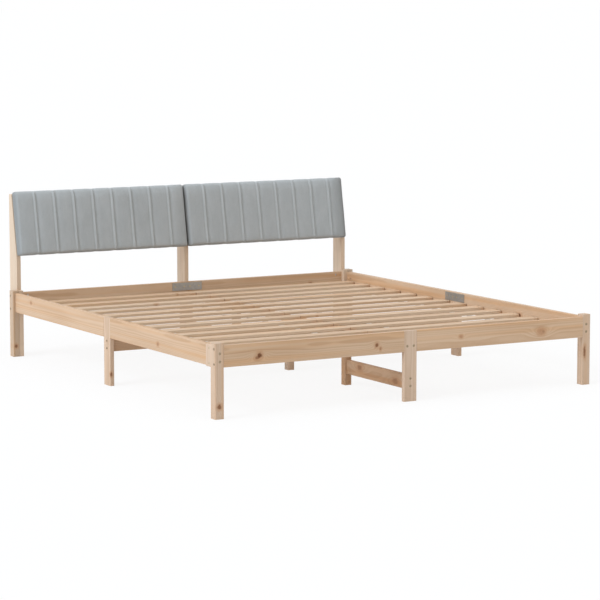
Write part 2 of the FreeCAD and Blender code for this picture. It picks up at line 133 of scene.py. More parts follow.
def startGroup(name, inputs, outputs):
    # inputs and outputs are (name, kind, default) rows
    tree = bpy.data.node_groups.new(name, "ShaderNodeTree")
    for label, kind, *default in inputs:
        socket = tree.interface.new_socket(label, in_out="INPUT", socket_type="NodeSocket" + kind)
        if default:
            socket.default_value = default[0]
    for label, kind in outputs:
        tree.interface.new_socket(label, in_out="OUTPUT", socket_type="NodeSocket" + kind)
    return tree, tree.nodes.new("NodeGroupInput").outputs, tree.nodes.new("NodeGroupOutput").inputs


def placeGroup(tree, group, inputs):
    return addNode(tree, "Group", inputs, node_tree=group).outputs


def startMaterial(name):
    material = bpy.data.materials.new(name)
    material.use_nodes = True
    tree = material.node_tree
    tree.nodes.clear()
    shader = tree.nodes.new("ShaderNodeBsdfPrincipled")
    output = tree.nodes.new("ShaderNodeOutputMaterial")
    tree.links.new(shader.outputs[0], output.inputs["Surface"])
    return material, tree, shader


def addBump(tree, shader, height, strength, distance):
    bump = addNode(tree, "Bump", {"Strength": strength, "Distance": distance, "Height": height})
    tree.links.new(bump.outputs[0], shader.inputs["Normal"])


# Wood is drawn in board space: x along the grain, y across, z away from the heart of the tree.

def buildGrainGroup():
    tree, given, made = startGroup("woodGrain", [
        ("Board", "Vector"), ("Bend", "Float", 0.0), ("Ring Width", "Float", 0.004),
        ("Waviness", "Float", 0.004), ("Fibre Scale", "Float", 900.0)],
        [("Rings", "Float"), ("Fibre", "Float"), ("Tone", "Float"), ("Streak", "Float"),
         ("Height", "Float")])
    slow = addScale(tree, given["Board"], (1.1, 7.0, 7.0))
    wander = addMath(tree, "SUBTRACT", addNoise(tree, slow, 1.0, 3.0), 0.5)
    apart = addNode(tree, "SeparateXYZ", {0: given["Board"]}).outputs
    across = addMath(tree, "POWER", apart[1], 2.0)
    deep = addMath(tree, "POWER", apart[2], 2.0)
    radius = addMath(tree, "SQRT", addMath(tree, "ADD", across, deep))
    waves = addMath(tree, "MULTIPLY", given["Waviness"], 5.0)
    radius = addMath(tree, "MULTIPLY_ADD", wander, waves, radius)
    radius = addMath(tree, "ADD", radius, given["Bend"])
    turn = addMath(tree, "FRACT", addMath(tree, "DIVIDE", radius, given["Ring Width"]))
    rise = addRange(tree, turn, 0.15, 0.86)
    fall = addRange(tree, turn, 0.90, 1.0, 1.0, 0.0)
    years = addNoise(tree, addNode(tree, "CombineXYZ", {0: radius}).outputs[0], 190.0, 1.0)
    strength = addRange(tree, years, 0.3, 0.75, 0.35, 1.0)     # no two years are equally dark
    rings = addMath(tree, "MULTIPLY", addMath(tree, "MULTIPLY", rise, fall), strength)
    stretched = addScale(tree, given["Board"], (0.018, 1.0, 1.0))
    fibre = addNoise(tree, stretched, given["Fibre Scale"], 3.0, 0.6)
    broad = addScale(tree, given["Board"], (0.9, 9.0, 9.0))
    long = addScale(tree, given["Board"], (0.45, 34.0, 34.0))
    streak = addRange(tree, addNoise(tree, long, 1.0, 2.0), 0.42, 0.68)
    tree.links.new(rings, made["Rings"])
    tree.links.new(fibre, made["Fibre"])
    tree.links.new(streak, made["Streak"])
    tree.links.new(addNoise(tree, broad, 2.4, 2.0), made["Tone"])
    tree.links.new(addMath(tree, "MULTIPLY_ADD", rings, 0.6, fibre), made["Height"])
    return tree


def buildKnotGroup():
    tree, given, made = startGroup("woodKnot", [
        ("Board", "Vector"), ("Centre", "Vector"), ("Across Branch", "Vector", (1.0, 1.0, 0.0)),
        ("Size", "Float", 0.01), ("Darkness", "Float", 1.0), ("Last Core", "Float", 0.0),
        ("Last Rim", "Float", 0.0), ("Last Halo", "Float", 0.0), ("Last Bend", "Float", 0.0)],
        [("Core", "Float"), ("Rim", "Float"), ("Halo", "Float"), ("Bend", "Float")])
    pair = {0: given["Board"], 1: given["Centre"]}
    away = addNode(tree, "VectorMath", pair, operation="SUBTRACT").outputs[0]
    flat = addScale(tree, away, given["Across Branch"])
    ragged = addMath(tree, "SUBTRACT", addNoise(tree, given["Board"], 95.0, 3.0, 0.6), 0.5)
    share = addMath(tree, "DIVIDE", addLength(tree, flat), given["Size"])
    share = addMath(tree, "MULTIPLY_ADD", ragged, 1.3, share)
    core = addMath(tree, "MULTIPLY", addRange(tree, share, 0.50, 1.15, 1.0, 0.0), given["Darkness"])
    inside = addRange(tree, share, 0.45, 0.85)
    outside = addRange(tree, share, 0.85, 1.25, 1.0, 0.0)
    rim = addMath(tree, "MULTIPLY", addMath(tree, "MULTIPLY", inside, outside), given["Darkness"])
    halo = addRange(tree, share, 0.7, 2.6, 1.0, 0.0)
    spread = addLength(tree, addScale(tree, flat, (0.45, 1.0, 1.0)))
    spread = addMath(tree, "DIVIDE", spread, addMath(tree, "MULTIPLY", given["Size"], 1.5))
    fallOff = addMath(tree, "MULTIPLY", addMath(tree, "POWER", spread, 2.0), -1.0)
    bend = addMath(tree, "EXPONENT", fallOff)
    bend = addMath(tree, "MULTIPLY", bend, addMath(tree, "MULTIPLY", given["Size"], 1.2))
    # each knot joins those before it
    for name, value in (("Core", core), ("Rim", rim), ("Halo", halo)):
        tree.links.new(addMath(tree, "MAXIMUM", value, given["Last " + name]), made[name])
    tree.links.new(addMath(tree, "ADD", bend, given["Last Bend"]), made["Bend"])
    return tree


def buildEdgeGroup():
    # where a sharp or eased edge has been handled: 0 on flats, 1 on edges
    tree, given, made = startGroup(
        "edgeWear", [("Reach", "Float", 0.002), ("Patchiness", "Float", 0.6)], [("Edge", "Float")])
    geometry = addNode(tree, "NewGeometry").outputs
    soft = addNode(tree, "Bevel", {"Radius": given["Reach"]}, samples=4).outputs[0]
    edge = addRange(tree, addDot(tree, soft, geometry["Normal"]), 0.9, 0.995, 1.0, 0.0)
    where = addNode(tree, "TexCoord").outputs["Object"]
    patches = addRange(tree, addNoise(tree, where, 26.0, 3.0), 0.35, 0.65)
    kept = addMath(tree, "SUBTRACT", 1.0, addMath(tree, "MULTIPLY", given["Patchiness"], patches))
    tree.links.new(addMath(tree, "MULTIPLY", edge, kept), made["Edge"])
    return tree


def buildWeaveGroup():
    tree, given, made = startGroup(
        "weave", [("Vector", "Vector"), ("Threads per Metre", "Float", 900.0)],
        [("Thread", "Float"), ("Height", "Float")])
    apart = addNode(tree, "SeparateXYZ", {0: given["Vector"]}).outputs
    turns = addMath(tree, "MULTIPLY", given["Threads per Metre"], math.pi)
    warp = addMath(tree, "SINE", addMath(tree, "MULTIPLY", apart[0], turns))
    weft = addMath(tree, "SINE", addMath(tree, "MULTIPLY", apart[1], turns))
    cross = addMath(tree, "MULTIPLY", warp, weft)
    over = addMath(tree, "GREATER_THAN", cross, 0.0)
    under = addMath(tree, "SUBTRACT", 1.0, over)
    warpOnTop = addMath(tree, "MULTIPLY", addMath(tree, "ABSOLUTE", warp), over)
    weftOnTop = addMath(tree, "MULTIPLY", addMath(tree, "ABSOLUTE", weft), under)
    mix = addMath(tree, "ADD", warpOnTop, weftOnTop)
    fuzz = addNoise(tree, given["Vector"], 1400.0, 2.0)
    tree.links.new(mix, made["Thread"])
    tree.links.new(addMath(tree, "MULTIPLY_ADD", fuzz, 0.35, mix), made["Height"])
    return tree


woodGrain = buildGrainGroup()
woodKnot = buildKnotGroup()
edgeWear = buildEdgeGroup()
weave = buildWeaveGroup()
print("shader groups built")

# Wood

pine = {
    "pale": (0.622, 0.440, 0.292, 1),
    "late": (0.436, 0.255, 0.132, 1),
    "warm": (0.610, 0.352, 0.174, 1),
    "ringShare": 0.56,
    "fibreShare": 0.36,
    "toneShare": 0.95,
    "streakShare": 0.70,
    "knot": (0.165, 0.058, 0.018, 1),
    "knotHalo": (0.47, 0.235, 0.110, 1),
    "knotRim": (0.085, 0.036, 0.016, 1),
    "roughness": 0.44,
    "shine": 0.28,
    "ringWidth": 0.0042,
    "knotsPerMetre": 0.9,
    "moreKnots": 1.4,           # up to so many more on any board
    "knotSize": (0.0045, 0.0085),
    "knotDarkness": (0.25, 0.9),
    "knotStretch": (0.6, 0.95),
    "clearLength": 0.2,         # shorter boards are cut clear of knots
    "haloShare": 0.66,
    "rimShare": 0.30,
    "edge": (0.93, 0.80, 0.64, 1),
    "edgeShare": 0.25,
    "edgeReach": 0.0018,
    "tintRange": 0.035,         # how far one board is paler or darker than the next
    "bump": 0.35,
    "bumpDistance": 0.0004,
}
legPine = dict(
    pine, pale=(0.625, 0.470, 0.345, 1), late=(0.455, 0.300, 0.185, 1),
    warm=(0.615, 0.405, 0.250, 1))
postPine = dict(
    pine, pale=(0.715, 0.575, 0.435, 1), late=(0.555, 0.405, 0.275, 1),
    warm=(0.700, 0.515, 0.360, 1))
headLegPine = dict(
    pine, pale=(0.560, 0.434, 0.320, 1), late=(0.392, 0.250, 0.145, 1),
    warm=(0.548, 0.347, 0.190, 1))
# painted shade: the boards under the bed are drawn darker and redder, as if in the shade beneath it
innerPineWithPaintedShade = dict(
    pine, pale=(0.545, 0.360, 0.225, 1), late=(0.378, 0.206, 0.100, 1),
    warm=(0.535, 0.288, 0.134, 1))
slatPine = dict(
    pine, pale=(0.66, 0.490, 0.340, 1), late=(0.51, 0.335, 0.200, 1),
    roughness=0.55, knotsPerMetre=0.6)
# where in the trunk a board is cut: along it, to the side of its heart and out from its heart
cutRange = {"along": (-5, 5), "aside": (-0.05, 0.05), "outward": (0.045, 0.11)}

# Knots that sit in a set place: a point on the face, the axis of the branch (3 for a round
# knot that comes out on one face only), its radius, how dark it is and how much longer it is
# along the grain. A board in this list gets no others, so an empty list keeps it clear.
placedKnots = {
    "foot_rail_left": [
        ((-0.724, -1.06, 0.248), 1, 0.0100, 1.0, 1.1),
        ((-0.734, -1.06, 0.239), 1, 0.0075, 0.6, 1.3),
        ((-0.166, -1.06, 0.250), 1, 0.0085, 0.8, 0.9),
        ((-0.148, -1.06, 0.234), 1, 0.0062, 0.35, 0.8)],
    "foot_rail_right": [
        ((0.667, -1.06, 0.250), 1, 0.0125, 0.10, 1.3),
        ((0.677, -1.06, 0.251), 1, 0.0055, 0.35, 1.2),
        ((0.252, -1.06, 0.257), 1, 0.0060, 0.2, 1.3)],
    "foot_leg_left": [((-0.909, -1.06, 0.051), 1, 0.0085, 0.8, 1.2)],
    "foot_leg_right": [((0.898, -1.06, 0.147), 1, 0.0055, 0.75, 4.0)],
    "foot_leg_centre": [],
    "head_leg_left": [((-0.915, 0.953, 0.050), 1, 0.0070, 0.7, 1.2)],
    "mid_leg_left": [((-0.911, -0.0635, 0.050), 3, 0.0060, 0.7, 1.5)],
    "low_stretcher_foot": [
        ((-0.010, -0.664, 0.092), 0, 0.0105, 0.45, 1.6),
        ((-0.010, -0.957, 0.072), 0, 0.0120, 0.40, 1.8)],
}


def boardTurn(piece):
    # rows that take a point to board space, the longest side first
    if piece.name.startswith(("headboard_bottom_bar", "headboard_top_bar", "cushion_board")):
        return Matrix(((1, 0, 0), leanUp, leanOut))
    axes = Matrix.Identity(3)
    if piece.name.startswith("slat_row"):
        return axes
    low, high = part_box(piece.name)
    return Matrix([axes[k] for k in sorted(range(3), key=lambda k: low[k] - high[k])])


def markBoard(piece, splitMiddle=False):
    # stores board space on the mesh, each board cut from its own place in the tree
    rng = random.Random(piece.name)
    turn = boardTurn(piece)
    low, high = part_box(piece.name)
    centre = turn @ ((low + high) / 2)
    shifts = []
    for _ in range(2):
        along = rng.uniform(*cutRange["along"])
        aside = rng.uniform(*cutRange["aside"]) - centre[1]
        outward = rng.uniform(*cutRange["outward"]) - centre[2]
        shifts.append(Vector((along, aside, outward)))
    values = []
    for vertex in piece.data.vertices:
        shift = shifts[1] if splitMiddle and vertex.co.x > 0 else shifts[0]
        values.extend(turn @ vertex.co + shift)
    layer = piece.data.attributes.new("boardSpace", "FLOAT_VECTOR", "POINT")
    layer.data.foreach_set("vector", values)
    return turn, shifts[0], low, high, rng


def boardKnots(piece, turn, shift, low, high, rng, look):
    knots = []
    for point, axis, size, darkness, stretch in placedKnots.get(piece.name, []):
        direction = Vector([1.0 if k == axis else 0.0 for k in range(3)])
        mask = [1.0 - abs(round(v)) for v in turn @ direction]
        mask[0] /= stretch
        knots.append((turn @ Vector(point) + shift, mask, size, darkness))
    length = max(high - low)
    if piece.name in placedKnots or length < look["clearLength"]:
        return knots
    for k in range(int(length * look["knotsPerMetre"] + rng.random() * look["moreKnots"])):
        point = turn @ Vector([rng.uniform(a, b) for a, b in zip(low, high)]) + shift
        mask = [rng.uniform(*look["knotStretch"]), 1.0, 0.0]
        size, darkness = rng.uniform(*look["knotSize"]), rng.uniform(*look["knotDarkness"])
        knots.append((point, mask, size, darkness))
    return knots


def woodMaterial(name, look, knots):
    material, tree, shader = startMaterial(name)
    board = addNode(tree, "Attribute", attribute_name="boardSpace").outputs["Vector"]
    last = {"Core": 0.0, "Rim": 0.0, "Halo": 0.0, "Bend": 0.0}
    for centre, mask, size, darkness in knots:
        given = {"Last " + key: value for key, value in last.items()}
        given.update({"Board": board, "Centre": centre, "Across Branch": mask})
        given.update({"Size": size, "Darkness": darkness})
        out = placeGroup(tree, woodKnot, given)
        last = {key: out[key] for key in last}
    given = {"Board": board, "Bend": last["Bend"], "Ring Width": look["ringWidth"]}
    grain = placeGroup(tree, woodGrain, given)
    wear = placeGroup(tree, edgeWear, {"Reach": look["edgeReach"]})
    fibre = addMath(tree, "SUBTRACT", grain["Fibre"], 0.5)
    tone = addMath(tree, "SUBTRACT", grain["Tone"], 0.45)
    share = addMath(tree, "MULTIPLY", grain["Rings"], look["ringShare"])
    share = addMath(tree, "MULTIPLY_ADD", fibre, look["fibreShare"], share)
    share = addMath(tree, "MULTIPLY_ADD", tone, look["toneShare"], share, clamp=True)
    streak = addMath(tree, "MULTIPLY", grain["Streak"], look["streakShare"])
    colour = addBlend(tree, share, addBlend(tree, streak, look["pale"], look["warm"]), look["late"])
    halo = addMath(tree, "MULTIPLY", last["Halo"], look["haloShare"])
    rim = addMath(tree, "MULTIPLY", last["Rim"], look["rimShare"])
    edge = addMath(tree, "MULTIPLY", wear["Edge"], look["edgeShare"])
    marks = {"knotHalo": halo, "knot": last["Core"], "knotRim": rim, "edge": edge}
    for key, mask in marks.items():
        colour = addBlend(tree, mask, colour, look[key])
    tree.links.new(colour, shader.inputs["Base Color"])
    # late wood is glossier
    rough = addMath(tree, "MULTIPLY_ADD", share, -0.10, look["roughness"] + 0.05)
    tree.links.new(rough, shader.inputs["Roughness"])
    shader.inputs["Specular IOR Level"].default_value = look["shine"]
    addBump(tree, shader, grain["Height"], look["bump"], look["bumpDistance"])
    return material


def setMaterial(piece, material):
    piece.data.materials.clear()
    piece.data.materials.append(material)


def dressBoard(piece, look, splitMiddle=False):
    turn, shift, low, high, rng = markBoard(piece, splitMiddle)
    tint = rng.uniform(-look["tintRange"], look["tintRange"])
    own = dict(look)
    for key in ("pale", "late", "warm"):
        own[key] = tuple(c * (1 + tint) for c in look[key][:3]) + (1,)
    knots = boardKnots(piece, turn, shift, low, high, rng, look)
    setMaterial(piece, woodMaterial("pine." + piece.name, own, knots))


plywood = {
    "face": (0.62, 0.46, 0.30, 1),
    "faceDark": (0.50, 0.34, 0.20, 1),
    "glue": (0.20, 0.11, 0.06, 1),
    "layers": 5,
    "thickness": 0.006,
    "ringWidth": 0.02,          # peeled veneer shows wide, wandering rings
    "waviness": 0.02,
    "fibreScale": 1400.0,
    "roughness": 0.62,
    "bump": 0.25,
    "bumpDistance": 0.0003,
}


def plywoodMaterial(look):
    material, tree, shader = startMaterial("birchPly")
    board = addNode(tree, "Attribute", attribute_name="boardSpace").outputs["Vector"]
    grain = placeGroup(tree, woodGrain, {
        "Board": board, "Ring Width": look["ringWidth"], "Waviness": look["waviness"],
        "Fibre Scale": look["fibreScale"]})
    depth = addNode(tree, "SeparateXYZ", {0: board}).outputs[2]
    layer = addMath(tree, "MULTIPLY", depth, look["layers"] / look["thickness"])
    layer = addMath(tree, "SUBTRACT", addMath(tree, "FRACT", layer), 0.5)
    line = addRange(tree, addMath(tree, "ABSOLUTE", layer), 0.36, 0.46)
    rings = addMath(tree, "MULTIPLY", grain["Rings"], 0.4)
    share = addMath(tree, "MULTIPLY_ADD", grain["Fibre"], 0.5, rings, clamp=True)
    colour = addBlend(tree, share, look["face"], look["faceDark"])
    facing = addDot(tree, addNode(tree, "NewGeometry").outputs["Normal"], tuple(leanOut))
    onEdge = addRange(tree, addMath(tree, "ABSOLUTE", facing), 0.4, 0.7, 1.0, 0.0)
    colour = addBlend(tree, addMath(tree, "MULTIPLY", line, onEdge), colour, look["glue"])
    tree.links.new(colour, shader.inputs["Base Color"])
    shader.inputs["Roughness"].default_value = look["roughness"]
    addBump(tree, shader, grain["Height"], look["bump"], look["bumpDistance"])
    return material


# Steel

steel = {
    "colour": (0.60, 0.61, 0.62, 1),
    "dull": (0.44, 0.45, 0.47, 1),
    "worn": (0.80, 0.80, 0.81, 1),
    "roughness": 0.34,
    "spangles": 260.0,          # crystals of the plating per metre
    "edgeShare": 0.5,
    "edgeReach": 0.0006,
    "bump": 0.15,
    "bumpDistance": 0.0001,
}
boltSteel = dict(
    steel, colour=(0.45, 0.355, 0.245, 1), dull=(0.34, 0.265, 0.180, 1), worn=(0.56, 0.46, 0.34, 1),
    roughness=0.50)
screwSteel = dict(
    steel, colour=(0.52, 0.43, 0.27, 1), dull=(0.40, 0.32, 0.19, 1), worn=(0.66, 0.58, 0.42, 1),
    roughness=0.42)
plateSteel = dict(
    steel, colour=(0.40, 0.385, 0.36, 1), dull=(0.30, 0.29, 0.27, 1), worn=(0.56, 0.54, 0.51, 1),
    roughness=0.52, spangles=120.0)


def steelMaterial(name, look):
    material, tree, shader = startMaterial(name)
    where = addNode(tree, "TexCoord").outputs["Object"]
    given = {"Vector": where, "Scale": look["spangles"]}
    spangle = addNode(tree, "TexVoronoi", given).outputs["Color"]
    cell = addNode(tree, "SeparateColor", {0: spangle}).outputs[0]
    cloud = addNoise(tree, where, look["spangles"] * 0.6, 4.0)
    wear = placeGroup(tree, edgeWear, {"Reach": look["edgeReach"], "Patchiness": 0.5})
    share = addMath(tree, "MULTIPLY", cloud, 0.5)
    share = addMath(tree, "MULTIPLY_ADD", cell, 0.35, share, clamp=True)
    colour = addBlend(tree, share, look["colour"], look["dull"])
    edge = addMath(tree, "MULTIPLY", wear["Edge"], look["edgeShare"])
    tree.links.new(addBlend(tree, edge, colour, look["worn"]), shader.inputs["Base Color"])
    shader.inputs["Metallic"].default_value = 1.0
    rough = addMath(tree, "MULTIPLY_ADD", share, 0.22, look["roughness"] - 0.08)
    tree.links.new(rough, shader.inputs["Roughness"])
    addBump(tree, shader, cloud, look["bump"], look["bumpDistance"])
    return material


# Webbing

webbing = {
    "colour": (0.72, 0.70, 0.66, 1),
    "shade": (0.50, 0.48, 0.44, 1),
    "threads": 700.0,
    "roughness": 0.85,
    "bump": 0.6,
    "bumpDistance": 0.0004,
}


def webbingMaterial(look):
    material, tree, shader = startMaterial("wovenTape")
    where = addNode(tree, "TexCoord").outputs["Object"]
    threads = placeGroup(tree, weave, {"Vector": where, "Threads per Metre": look["threads"]})
    colour = addBlend(tree, threads["Thread"], look["shade"], look["colour"])
    tree.links.new(colour, shader.inputs["Base Color"])
    shader.inputs["Roughness"].default_value = look["roughness"]
    addBump(tree, shader, threads["Height"], look["bump"], look["bumpDistance"])
    return material


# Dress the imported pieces

fixings = {
    "frame_bolts": steelMaterial("darkBoltSteel", boltSteel),
    "barrel_nuts": steelMaterial("zincSteel", steel),
    "wood_screws": steelMaterial("yellowScrewSteel", screwSteel),
    "joining_plates": steelMaterial("plateSteel", plateSteel),
    "slat_webbing": webbingMaterial(webbing),
}
# the first row whose names fit a board gives its wood
boards = (
    (("slat_row",), slatPine),
    (("headboard_post",), postPine),
    (("head_leg_left", "head_leg_right"), headLegPine),
    (("quarter_leg", "low_stretcher", "cross_beam", "centre_beam"), innerPineWithPaintedShade),
    (("foot_leg", "mid_leg"), legPine),
    (("",), pine),
)
for name, piece in cad.items():
    if name in fixings:
        setMaterial(piece, fixings[name])
    elif name.startswith("cushion_board"):
        markBoard(piece)
        setMaterial(piece, plywoodMaterial(plywood))
    elif not name.startswith("headboard_cushion"):
        look = next(look for starts, look in boards if name.startswith(starts))
        dressBoard(piece, look, splitMiddle=name.startswith("slat_row"))
print("wood and steel dressed")

# Cushions

cushion = {
    "channels": 9,
    "channelShare": 1.0125,     # the last channel is narrower, the others share what it gives up
    "seamHalf": 0.0080,         # from the middle of the raised tuck to either stitched line
    # beside each seam: how high, and then the place and reach in seamHalf, to the right of it
    "tuck": (0.0023, -0.1, 0.70),
    "leftDip": (0.0009, -1.15, 0.45),
    "groove": (0.0028, 1.0, 0.42, 1.25),    # it reaches further on its outer side
    # painted highlight on the tuck and painted shade in the groove, as strength, place and reach in
    # seamHalf
    "tuckPaintedLight": (0.24, -0.2, 0.60),
    "groovePaintedShade": (0.24, 1.0, 0.55),
    "bulge": 0.0016,
    "bulgePower": 0.6,          # below 1 for a flat middle
    "rimRadius": 0.013,
    "rimDepth": 0.019,
    "rimStep": 0.002,           # least rise from the rim to the front
    "leastAtEdge": 0.25,        # what is left of seams and bulge at the rim
    "leftEnd": (0.022, 0.003),  # each edge rounds off over a run by a drop
    "rightEnd": (0.070, 0.011),
    "topEdge": (0.052, 0.011),
    "bottomEdge": (0.030, 0.003),
    "pinch": 0.0014,            # the outline drawn in at each seam
    "pinchReach": 1.6,
    "cornerRadius": 0.012,
    "backRound": 0.0024,        # how far the back edge is drawn in
    "gridEdges": (0.0, 0.0015, 0.004, 0.008, 0.012, 0.016),
    "gridEnd": 0.024,
    "gridRows": 40,
    "gridSeams": (0.0, 0.4, 0.75, 1.1, 1.5, 2.0, 3.0),
    "gridMiddles": (0.36, 0.5, 0.64),
    "wallRows": (0.25, 0.55, 0.85),
    "sewnBand": (-1.2, 1.6),    # held while the rest is blown up, in seamHalf
    "pressure": 1.6,
    "slack": 0.035,             # extra cloth between the seams
    "frames": 18,
    "mostMove": 0.004,
    "swellRoom": 0.001,
    "cloth": {"quality": 6, "mass": 0.3, "tension_stiffness": 20, "compression_stiffness": 12,
              "shear_stiffness": 8, "bending_stiffness": 0.25},
    "boardInset": 0.012,
    "boardDepth": 0.0063,
    "clearance": 0.0003,
    "dentsFrom": 0.6,           # the share of rimDepth above which the front is dented
    "dents": 0.0012,
    "dentScale": (16, 9),
    "puckers": 0.0012,
    "puckerScale": (30, 42),
    "puckerReach": 0.016,
    "wallPaintedShade": 0.85,           # strength of the painted shade on the walls, the back and the left and bottom rims
    "wallReach": 0.005,         # how far the painted wall shade comes round onto the front
    "leftWallReach": 0.0078,
    # painted highlight along the top edge of the front
    "topPaintedLight": 0.22,
    "topReach": 0.014,
    "toneFade": 0.030,
    "endPaintedShade": 0.0,             # painted shade towards the right end
    "endReach": 0.020,
    "endWide": 0.075,
    "endWideShare": 0.45,
    "cover": (0.412, 0.433, 0.436, 1),
    "coverPale": (0.525, 0.546, 0.550, 1),
    "coverDeep": (0.300, 0.320, 0.321, 1),
    "evenShare": 0.55,          # how far the mottling is evened out
    "fuzz": (0.62, 0.66, 0.65, 1),
    "fuzzShare": 0.16,
    # colours of the painted highlight and the painted shade, chosen by the tone layer
    "paintedLightColour": (0.560, 0.585, 0.590, 1),
    "paintedShadeColour": (0.234, 0.240, 0.236, 1),
    "roughness": 0.95,
    "shine": 0.22,
    "sheen": 0.22,
    "sheenRoughness": 0.45,
    "sheenTint": (0.86, 0.92, 0.90, 1),
    "bump": 0.45,
    "bumpDistance": 0.0006,
    "thread": (0.52, 0.555, 0.565, 1),
    "threadRoughness": 0.6,
    "threadTwists": 420.0,
    "threadBump": 0.4,
    "threadBumpDistance": 0.0003,
    "stitchLength": 0.0044,
    "stitchStep": 0.0060,
    "stitchRadius": 0.00055,
    "stitchArch": 0.7,          # each stitch rises in its middle and sinks at its ends
    "stitchSink": 0.1,
    "stitchWobble": 0.0002,
    "stitchMargin": 0.7,        # bare ends of the seams, in rimRadius
    "stitchSides": 5,
    # how far along each ring of a stitch lies, and how fat it is
    "stitchRings": ((0.0, 0.35), (0.18, 1.0), (0.5, 1.25), (0.82, 1.0), (1.0, 0.35)),
}


def coverMaterial(look):
    material, tree, shader = startMaterial("shortPile")
    where = addNode(tree, "TexCoord").outputs["Object"]
    brushed = addScale(tree, where, (1.0, 0.5, 0.35))
    strokes = addNoise(tree, brushed, 34.0, 4.0, 0.62)
    cloud = addNoise(tree, where, 6.0, 2.0)
    pile = addNoise(tree, where, 1900.0, 2.0, 0.7)
    slubs = addNoise(tree, brushed, 260.0, 3.0, 0.65)
    share = addMath(tree, "MULTIPLY_ADD", slubs, 0.8, -0.85)
    share = addMath(tree, "MULTIPLY_ADD", cloud, 0.6, share)
    share = addMath(tree, "MULTIPLY_ADD", strokes, 0.9, share, clamp=True)
    colour = addBlend(tree, share, look["coverDeep"], look["coverPale"])
    colour = addBlend(tree, look["evenShare"], colour, look["cover"])
    fuzz = addMath(tree, "MULTIPLY", pile, look["fuzzShare"])
    colour = addBlend(tree, fuzz, colour, look["fuzz"])
    # the tone layer paints light and shade: a painted highlight above 0, painted shade below 0
    tone = addNode(tree, "Attribute", attribute_name="tone").outputs["Fac"]
    for sign, over in ((1.0, "paintedLightColour"), (-1.0, "paintedShadeColour")):
        mask = addMath(tree, "MULTIPLY", tone, sign, clamp=True)
        colour = addBlend(tree, mask, colour, look[over])
    tree.links.new(colour, shader.inputs["Base Color"])
    rough = addMath(tree, "MULTIPLY_ADD", share, -0.08, look["roughness"])
    tree.links.new(rough, shader.inputs["Roughness"])
    shader.inputs["Specular IOR Level"].default_value = look["shine"]
    shader.inputs["Sheen Weight"].default_value = look["sheen"]
    shader.inputs["Sheen Roughness"].default_value = look["sheenRoughness"]
    shader.inputs["Sheen Tint"].default_value = look["sheenTint"]
    height = addMath(tree, "MULTIPLY_ADD", slubs, 0.9, pile)
    height = addMath(tree, "MULTIPLY_ADD", strokes, 0.7, height)
    addBump(tree, shader, height, look["bump"], look["bumpDistance"])
    return material


def threadMaterial(look):
    material, tree, shader = startMaterial("coverThread")
    where = addNode(tree, "TexCoord").outputs["Object"]
    given = {"Vector": where, "Scale": look["threadTwists"], "Distortion": 1.5}
    ply = addNode(tree, "TexWave", given, bands_direction="DIAGONAL").outputs["Fac"]
    colour = addBlend(tree, addMath(tree, "MULTIPLY", ply, 0.4), look["thread"], look["coverPale"])
    tree.links.new(colour, shader.inputs["Base Color"])
    shader.inputs["Roughness"].default_value = look["threadRoughness"]
    addBump(tree, shader, ply, look["threadBump"], look["threadBumpDistance"])
    return material


def seamPlaces(width, look):
    pitch = width / look["channels"] * look["channelShare"]
    return [pitch * k for k in range(1, look["channels"])]


def seamDistance(across, width, look):
    # how far a place lies to the right of its nearest seam
    return across - min(seamPlaces(width, look), key=lambda seam: abs(seam - across))


def edgePlaces(length, look):
    # grid lines close together at both ends of a length
    return {round(place, 6) for edge in look["gridEdges"] for place in (edge, length - edge)}


def channelColumns(width, look):
    # grid lines across the cushion, close together at the seams
    seams, places = seamPlaces(width, look), edgePlaces(width, look)
    places.update((look["gridEnd"], round(width - look["gridEnd"], 6)))
    for seam in seams:
        for step in look["gridSeams"]:
            places.add(round(seam - look["seamHalf"] * step, 6))
            places.add(round(seam + look["seamHalf"] * step, 6))
    for start, end in zip([0.0] + seams, seams + [width]):
        places.update(round(start + (end - start) * share, 6) for share in look["gridMiddles"])
    return sorted(places)


def channelRows(height, look):
    places, inner = edgePlaces(height, look), look["gridEdges"][-1]
    for k in range(1, look["gridRows"]):
        places.add(round(inner + (height - 2 * inner) * k / look["gridRows"], 6))
    return sorted(places)


def hump(distance, reach, power=2):
    return math.exp(-(distance / reach) ** power)


def seamHump(away, look, height, place, inner, outer=None):
    # a rise beside a seam, at a place and with reaches in seamHalf
    past = away - look["seamHalf"] * place
    reach = inner if outer is None or past < 0 else outer
    return height * hump(past, look["seamHalf"] * reach)


def edgeDrop(distance, run, drop):
    return drop * max(0.0, 1 - distance / run) ** 2


def frontDepth(across, up, width, height, depth, look):
    # how far the front of the cushion stands out at one place
    edge = min(across, width - across, up, height - up)
    drop = edgeDrop(across, *look["leftEnd"]) + edgeDrop(width - across, *look["rightEnd"])
    drop += edgeDrop(height - up, *look["topEdge"]) + edgeDrop(up, *look["bottomEdge"])
    full = max(look["rimDepth"] + look["rimStep"], depth - look["bulge"] - drop)
    turn = max(0.0, 1 - edge / look["rimRadius"])
    rim = look["rimDepth"] + (full - look["rimDepth"]) * math.sqrt(max(0.0, 1 - turn * turn))
    away = seamDistance(across, width, look)
    tuck = seamHump(away, look, *look["tuck"])
    groove = seamHump(away, look, *look["groove"]) + seamHump(away, look, *look["leftDip"])
    seams = seamPlaces(width, look)
    start = max([0.0] + [seam for seam in seams if seam <= across])
    end = min([width] + [seam for seam in seams if seam > across])
    into = min(1.0, (across - start) / (end - start))
    bulge = look["bulge"] * (1 - (2 * into - 1) ** 2) ** look["bulgePower"]
    fade = min(1.0, edge / look["rimRadius"] + look["leastAtEdge"])
    return rim + fade * (bulge - groove + tuck)


